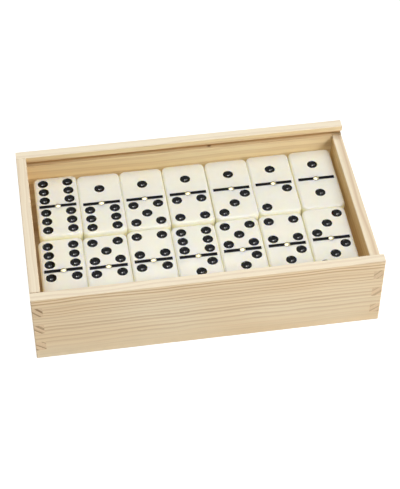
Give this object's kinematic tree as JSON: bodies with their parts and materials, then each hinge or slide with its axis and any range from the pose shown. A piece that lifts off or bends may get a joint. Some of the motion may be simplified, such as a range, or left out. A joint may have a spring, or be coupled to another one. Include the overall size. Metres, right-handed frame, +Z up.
{
  "type": "domino storage box",
  "caption": "Open finger-jointed pine box with grooves for a sliding lid and a lowered end, packed with layers of lift-out ivory dominoes with brass spinners.",
  "frame": {"origin": "centre of the rectangle the box stands on", "axes": "+X along the box towards the lowered end board, +Y towards the back board, +Z up"},
  "size_m": [0.1924, 0.1156, 0.048],
  "materials": {
    "pine": "fine sanded, unvarnished",
    "plywood": "sanded plywood",
    "ivory_resin": "polished, with black filled pips and divider",
    "brass": "polished"
  },
  "bodies": {
    "box": {"front_board": "pine", "back_board": "pine", "left_end_board": "pine", "right_end_board": "pine", "bottom_panel": "plywood"},
    "tile_0_0": {"domino_0_0": "ivory_resin"},
    "tile_6_6": {"domino_6_6": "ivory_resin", "spinner_6_6": "brass"},
    "tile_1_0": {"domino_1_0": "ivory_resin"},
    "tile_6_1": {"domino_6_1": "ivory_resin", "spinner_6_1": "brass"},
    "tile_2_0": {"domino_2_0": "ivory_resin"},
    "tile_5_1": {"domino_5_1": "ivory_resin", "spinner_5_1": "brass"},
    "tile_3_0": {"domino_3_0": "ivory_resin"},
    "tile_4_1": {"domino_4_1": "ivory_resin", "spinner_4_1": "brass"},
    "tile_4_0": {"domino_4_0": "ivory_resin"},
    "tile_3_1": {"domino_3_1": "ivory_resin", "spinner_3_1": "brass"},
    "tile_5_0": {"domino_5_0": "ivory_resin"},
    "tile_2_1": {"domino_2_1": "ivory_resin", "spinner_2_1": "brass"},
    "tile_6_0": {"domino_6_0": "ivory_resin"},
    "tile_1_1": {"domino_1_1": "ivory_resin", "spinner_1_1": "brass"},
    "tile_2_2": {"domino_2_2": "ivory_resin"},
    "tile_6_4": {"domino_6_4": "ivory_resin", "spinner_6_4": "brass"},
    "tile_3_2": {"domino_3_2": "ivory_resin"},
    "tile_5_4": {"domino_5_4": "ivory_resin", "spinner_5_4": "brass"},
    "tile_4_2": {"domino_4_2": "ivory_resin"},
    "tile_4_4": {"domino_4_4": "ivory_resin", "spinner_4_4": "brass"},
    "tile_5_2": {"domino_5_2": "ivory_resin"},
    "tile_6_3": {"domino_6_3": "ivory_resin", "spinner_6_3": "brass"},
    "tile_6_2": {"domino_6_2": "ivory_resin"},
    "tile_5_3": {"domino_5_3": "ivory_resin", "spinner_5_3": "brass"},
    "tile_5_5": {"domino_5_5": "ivory_resin"},
    "tile_4_3": {"domino_4_3": "ivory_resin", "spinner_4_3": "brass"},
    "tile_6_5": {"domino_6_5": "ivory_resin"},
    "tile_3_3": {"domino_3_3": "ivory_resin", "spinner_3_3": "brass"}
  },
  "joints": [
    {"name": "lift_0_0", "type": "slide", "parent": "box", "child": "tile_0_0", "axis": [0, 0, 1], "range_m": [0, 0.043]},
    {"name": "lift_6_6", "type": "slide", "parent": "tile_0_0", "child": "tile_6_6", "axis": [0, 0, 1], "range_m": [0, 0.03]},
    {"name": "lift_1_0", "type": "slide", "parent": "box", "child": "tile_1_0", "axis": [0, 0, 1], "range_m": [0, 0.043]},
    {"name": "lift_6_1", "type": "slide", "parent": "tile_1_0", "child": "tile_6_1", "axis": [0, 0, 1], "range_m": [0, 0.03]},
    {"name": "lift_2_0", "type": "slide", "parent": "box", "child": "tile_2_0", "axis": [0, 0, 1], "range_m": [0, 0.043]},
    {"name": "lift_5_1", "type": "slide", "parent": "tile_2_0", "child": "tile_5_1", "axis": [0, 0, 1], "range_m": [0, 0.03]},
    {"name": "lift_3_0", "type": "slide", "parent": "box", "child": "tile_3_0", "axis": [0, 0, 1], "range_m": [0, 0.043]},
    {"name": "lift_4_1", "type": "slide", "parent": "tile_3_0", "child": "tile_4_1", "axis": [0, 0, 1], "range_m": [0, 0.03]},
    {"name": "lift_4_0", "type": "slide", "parent": "box", "child": "tile_4_0", "axis": [0, 0, 1], "range_m": [0, 0.043]},
    {"name": "lift_3_1", "type": "slide", "parent": "tile_4_0", "child": "tile_3_1", "axis": [0, 0, 1], "range_m": [0, 0.03]},
    {"name": "lift_5_0", "type": "slide", "parent": "box", "child": "tile_5_0", "axis": [0, 0, 1], "range_m": [0, 0.043]},
    {"name": "lift_2_1", "type": "slide", "parent": "tile_5_0", "child": "tile_2_1", "axis": [0, 0, 1], "range_m": [0, 0.03]},
    {"name": "lift_6_0", "type": "slide", "parent": "box", "child": "tile_6_0", "axis": [0, 0, 1], "range_m": [0, 0.043]},
    {"name": "lift_1_1", "type": "slide", "parent": "tile_6_0", "child": "tile_1_1", "axis": [0, 0, 1], "range_m": [0, 0.03]},
    {"name": "lift_2_2", "type": "slide", "parent": "box", "child": "tile_2_2", "axis": [0, 0, 1], "range_m": [0, 0.043]},
    {"name": "lift_6_4", "type": "slide", "parent": "tile_2_2", "child": "tile_6_4", "axis": [0, 0, 1], "range_m": [0, 0.03]},
    {"name": "lift_3_2", "type": "slide", "parent": "box", "child": "tile_3_2", "axis": [0, 0, 1], "range_m": [0, 0.043]},
    {"name": "lift_5_4", "type": "slide", "parent": "tile_3_2", "child": "tile_5_4", "axis": [0, 0, 1], "range_m": [0, 0.03]},
    {"name": "lift_4_2", "type": "slide", "parent": "box", "child": "tile_4_2", "axis": [0, 0, 1], "range_m": [0, 0.043]},
    {"name": "lift_4_4", "type": "slide", "parent": "tile_4_2", "child": "tile_4_4", "axis": [0, 0, 1], "range_m": [0, 0.03]},
    {"name": "lift_5_2", "type": "slide", "parent": "box", "child": "tile_5_2", "axis": [0, 0, 1], "range_m": [0, 0.043]},
    {"name": "lift_6_3", "type": "slide", "parent": "tile_5_2", "child": "tile_6_3", "axis": [0, 0, 1], "range_m": [0, 0.03]},
    {"name": "lift_6_2", "type": "slide", "parent": "box", "child": "tile_6_2", "axis": [0, 0, 1], "range_m": [0, 0.043]},
    {"name": "lift_5_3", "type": "slide", "parent": "tile_6_2", "child": "tile_5_3", "axis": [0, 0, 1], "range_m": [0, 0.03]},
    {"name": "lift_5_5", "type": "slide", "parent": "box", "child": "tile_5_5", "axis": [0, 0, 1], "range_m": [0, 0.043]},
    {"name": "lift_4_3", "type": "slide", "parent": "tile_5_5", "child": "tile_4_3", "axis": [0, 0, 1], "range_m": [0, 0.03]},
    {"name": "lift_6_5", "type": "slide", "parent": "box", "child": "tile_6_5", "axis": [0, 0, 1], "range_m": [0, 0.043]},
    {"name": "lift_3_3", "type": "slide", "parent": "tile_6_5", "child": "tile_3_3", "axis": [0, 0, 1], "range_m": [0, 0.03]}
  ]
}
